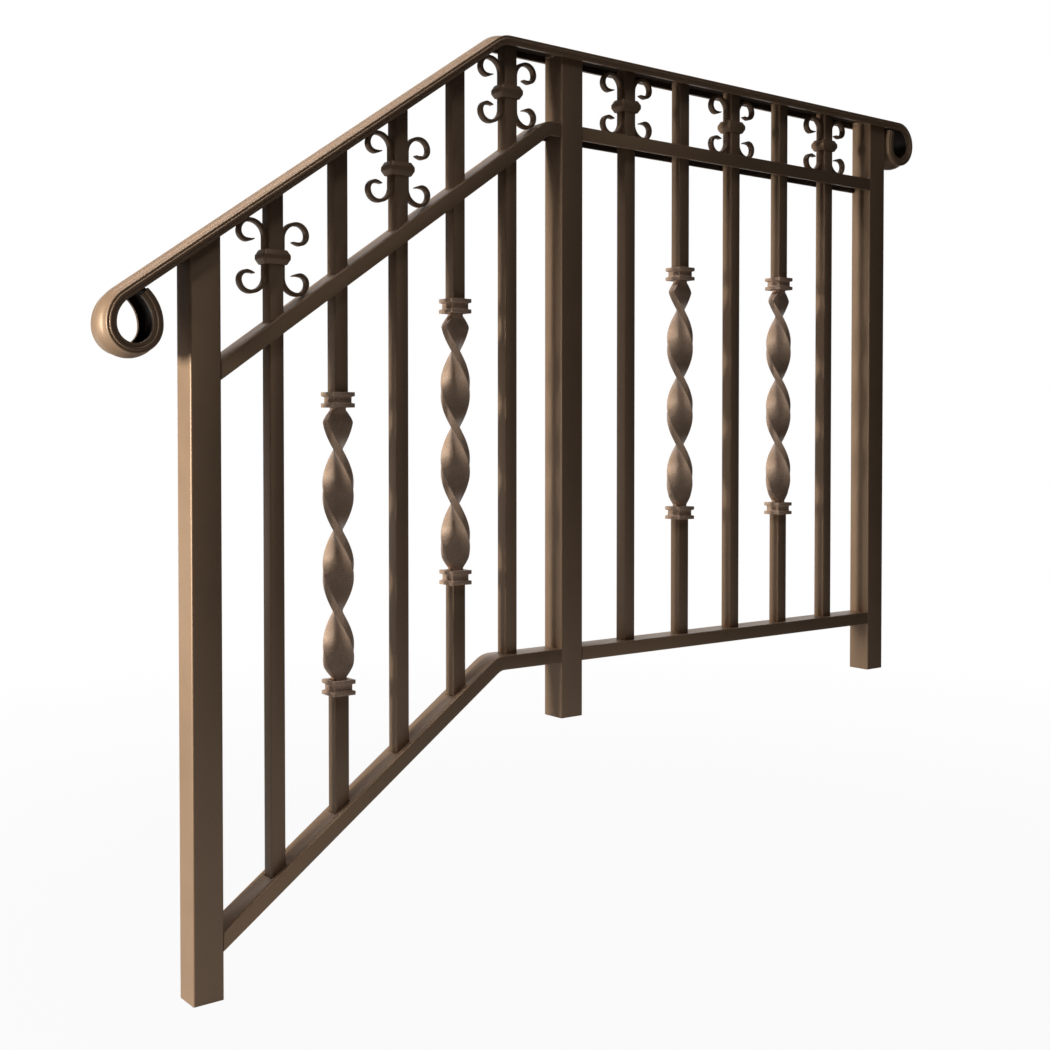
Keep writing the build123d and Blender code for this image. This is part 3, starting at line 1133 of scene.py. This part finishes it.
@dataclass
class Studio:
    """Camera, lamps, backdrop and floor of the picture."""

    lens: float = 47.01
    sensor: float = 36.0
    shift_y: float = -0.0542
    eye: Triple = (-1.2146, -1.4903, 0.3875)
    aim: Triple = (88.8, 0.0, -37.57)
    floor_gap: float = 0.0005
    floor_size: float = 14.0
    floor_grey: float = 0.2
    floor_fade: Pair = (0.6, 2.4)
    floor_glow: float = 0.95
    floor_bounce: float = 0.24
    bounce_reach: Pair = (0.5, 1.3)
    backdrop_start: Pair = (1.6, 3.5)
    room_level: float = 0.016
    room_dark: float = 0.02
    bright_way: Triple = (0.62, 0.77, 0.15)
    ramp: Pair = (0.60, 0.92)
    lamp_target: Triple = (0.0, 0.0, 0.35)
    lamps: Tuple[Lamp, ...] = (
        Lamp("key_lamp", (-4.2, 0.17, 0.60), 0.9, 235.0, (1.0, 0.975, 0.88)),
        Lamp("top_lamp", (-1.1, 0.5, 3.1), 1.3, 32.0),
        Lamp("front_lamp", (-0.7, -1.15, 3.1), 0.8, 10.0),
    )

    def build(self) -> None:
        """Builds the whole studio."""
        self.build_camera()
        self.build_world()
        self.build_floor()
        for lamp in self.lamps:
            self.place_lamp(lamp)
        bpy.context.scene.view_settings.view_transform = "Standard"

    def build_camera(self) -> None:
        """Places the camera of the photo."""
        data = bpy.data.cameras.new("photo_camera")
        data.lens = self.lens
        data.sensor_width = self.sensor
        data.shift_y = self.shift_y
        camera = bpy.data.objects.new("photo_camera", data)
        bpy.context.scene.collection.objects.link(camera)
        camera.location = self.eye
        camera.rotation_euler = [math.radians(angle) for angle in self.aim]
        bpy.context.scene.camera = camera

    def build_world(self) -> None:
        """Builds the room round the railing.

        The camera sees it white. Reflections find it bright behind the railing and dark elsewhere. Its
        diffuse light is weak and even.
        """
        world = bpy.data.worlds.new("studio_room")
        world.use_nodes = True
        bpy.context.scene.world = world
        tree = world.node_tree
        nodes = tree.nodes
        links = tree.links
        room = nodes["Background"]
        room.inputs["Color"].default_value = (1.0, 1.0, 1.0, 1.0)
        path = nodes.new("ShaderNodeLightPath")
        place = nodes.new("ShaderNodeTexCoord")
        way = nodes.new("ShaderNodeVectorMath")
        way.operation = "DOT_PRODUCT"
        way.inputs[1].default_value = Vector(self.bright_way).normalized()
        links.new(place.outputs["Generated"], way.inputs[0])
        fade = map_range(tree, way.outputs["Value"], self.ramp, (self.room_dark, 1.0))
        fade.node.interpolation_type = "SMOOTHSTEP"
        seen = nodes.new("ShaderNodeMix")
        seen.data_type = "FLOAT"
        seen.inputs["A"].default_value = self.room_level
        links.new(mirror_ray(tree, path), seen.inputs["Factor"])
        links.new(fade, seen.inputs["B"])
        level = nodes.new("ShaderNodeMix")
        level.data_type = "FLOAT"
        level.inputs["B"].default_value = 1.0
        links.new(path.outputs["Is Camera Ray"], level.inputs["Factor"])
        links.new(seen.outputs["Result"], level.inputs["A"])
        links.new(level.outputs["Result"], room.inputs["Strength"])

    def build_floor(self) -> None:
        """Builds the floor under the lowest post.

        The camera sees it nearly white. Reflections find it white far behind the railing, and close to the
        railing it gives a weak light from below.
        """
        deselect_all()
        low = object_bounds()[0]
        bpy.ops.mesh.primitive_plane_add(size=self.floor_size, location=(0.0, 0.0, low.z - self.floor_gap))
        floor = bpy.context.object
        floor.name = "studio_floor"
        material, matt = new_material("studio_floor")
        tree = material.node_tree
        nodes = tree.nodes
        links = tree.links
        matt.inputs["Base Color"].default_value = (self.floor_grey, self.floor_grey, self.floor_grey, 1.0)
        matt.inputs["Roughness"].default_value = 1.0
        matt.inputs["Specular IOR Level"].default_value = 0.0
        glow = nodes.new("ShaderNodeEmission")
        glow.inputs["Strength"].default_value = 1.0
        path = nodes.new("ShaderNodeLightPath")
        place = nodes.new("ShaderNodeTexCoord")
        reach = nodes.new("ShaderNodeVectorMath")
        reach.operation = "LENGTH"
        links.new(place.outputs["Object"], reach.inputs[0])
        split = nodes.new("ShaderNodeSeparateXYZ")
        links.new(place.outputs["Object"], split.inputs[0])
        white = map_range(tree, reach.outputs["Value"], self.floor_fade, (self.floor_glow, 1.0))
        seen = combine(tree, "MULTIPLY", path.outputs["Is Camera Ray"], white)
        behind = map_range(tree, split.outputs["Y"], self.backdrop_start, (0.0, 1.0))
        mirrored = combine(tree, "MULTIPLY", mirror_ray(tree, path), behind)
        share = combine(tree, "MAXIMUM", seen, mirrored)
        near = map_range(tree, reach.outputs["Value"], self.bounce_reach, (self.floor_bounce, 0.0))
        hidden = combine(tree, "SUBTRACT", near, path.outputs["Is Camera Ray"])
        bounce = combine(tree, "MAXIMUM", hidden, 0.0)
        matt.inputs["Emission Color"].default_value = (1.0, 1.0, 1.0, 1.0)
        links.new(bounce, matt.inputs["Emission Strength"])
        blend = nodes.new("ShaderNodeMixShader")
        links.new(share, blend.inputs["Fac"])
        links.new(matt.outputs["BSDF"], blend.inputs[1])
        links.new(glow.outputs["Emission"], blend.inputs[2])
        links.new(blend.outputs["Shader"], nodes["Material Output"].inputs["Surface"])
        floor.data.materials.append(material)
        floor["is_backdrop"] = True

    def place_lamp(self, lamp: Lamp) -> None:
        """Places one lamp so that it faces the railing.

        Args:
            lamp: The lamp.
        """
        data = bpy.data.lights.new(lamp.name, "AREA")
        data.shape = "DISK"
        data.size = lamp.size
        data.energy = lamp.power
        data.color = lamp.tint
        holder = bpy.data.objects.new(lamp.name, data)
        bpy.context.scene.collection.objects.link(holder)
        holder.location = lamp.place
        aim = Vector(self.lamp_target) - Vector(lamp.place)
        holder.rotation_euler = aim.to_track_quat("-Z", "Y").to_euler()


def main() -> None:
    """Builds the railing and its studio."""
    logging.basicConfig(level=logging.INFO)
    coat = BronzeCoat().build()
    # lighter coat for the leaves and collars: its tone is painted sheen
    painted_sheen_coat = CastCoatWithPaintedSheen().build()
    # dark material of painted shade for the insides of the channels
    shade = PaintedChannelShade().build()
    for assembly in (Framework, Handrail, ScrollSet, TwistedBalusters, WeldBeads):
        assembly(coat, painted_sheen_coat, shade).build()
    Studio().build()


if __name__ == "__main__":
    main()
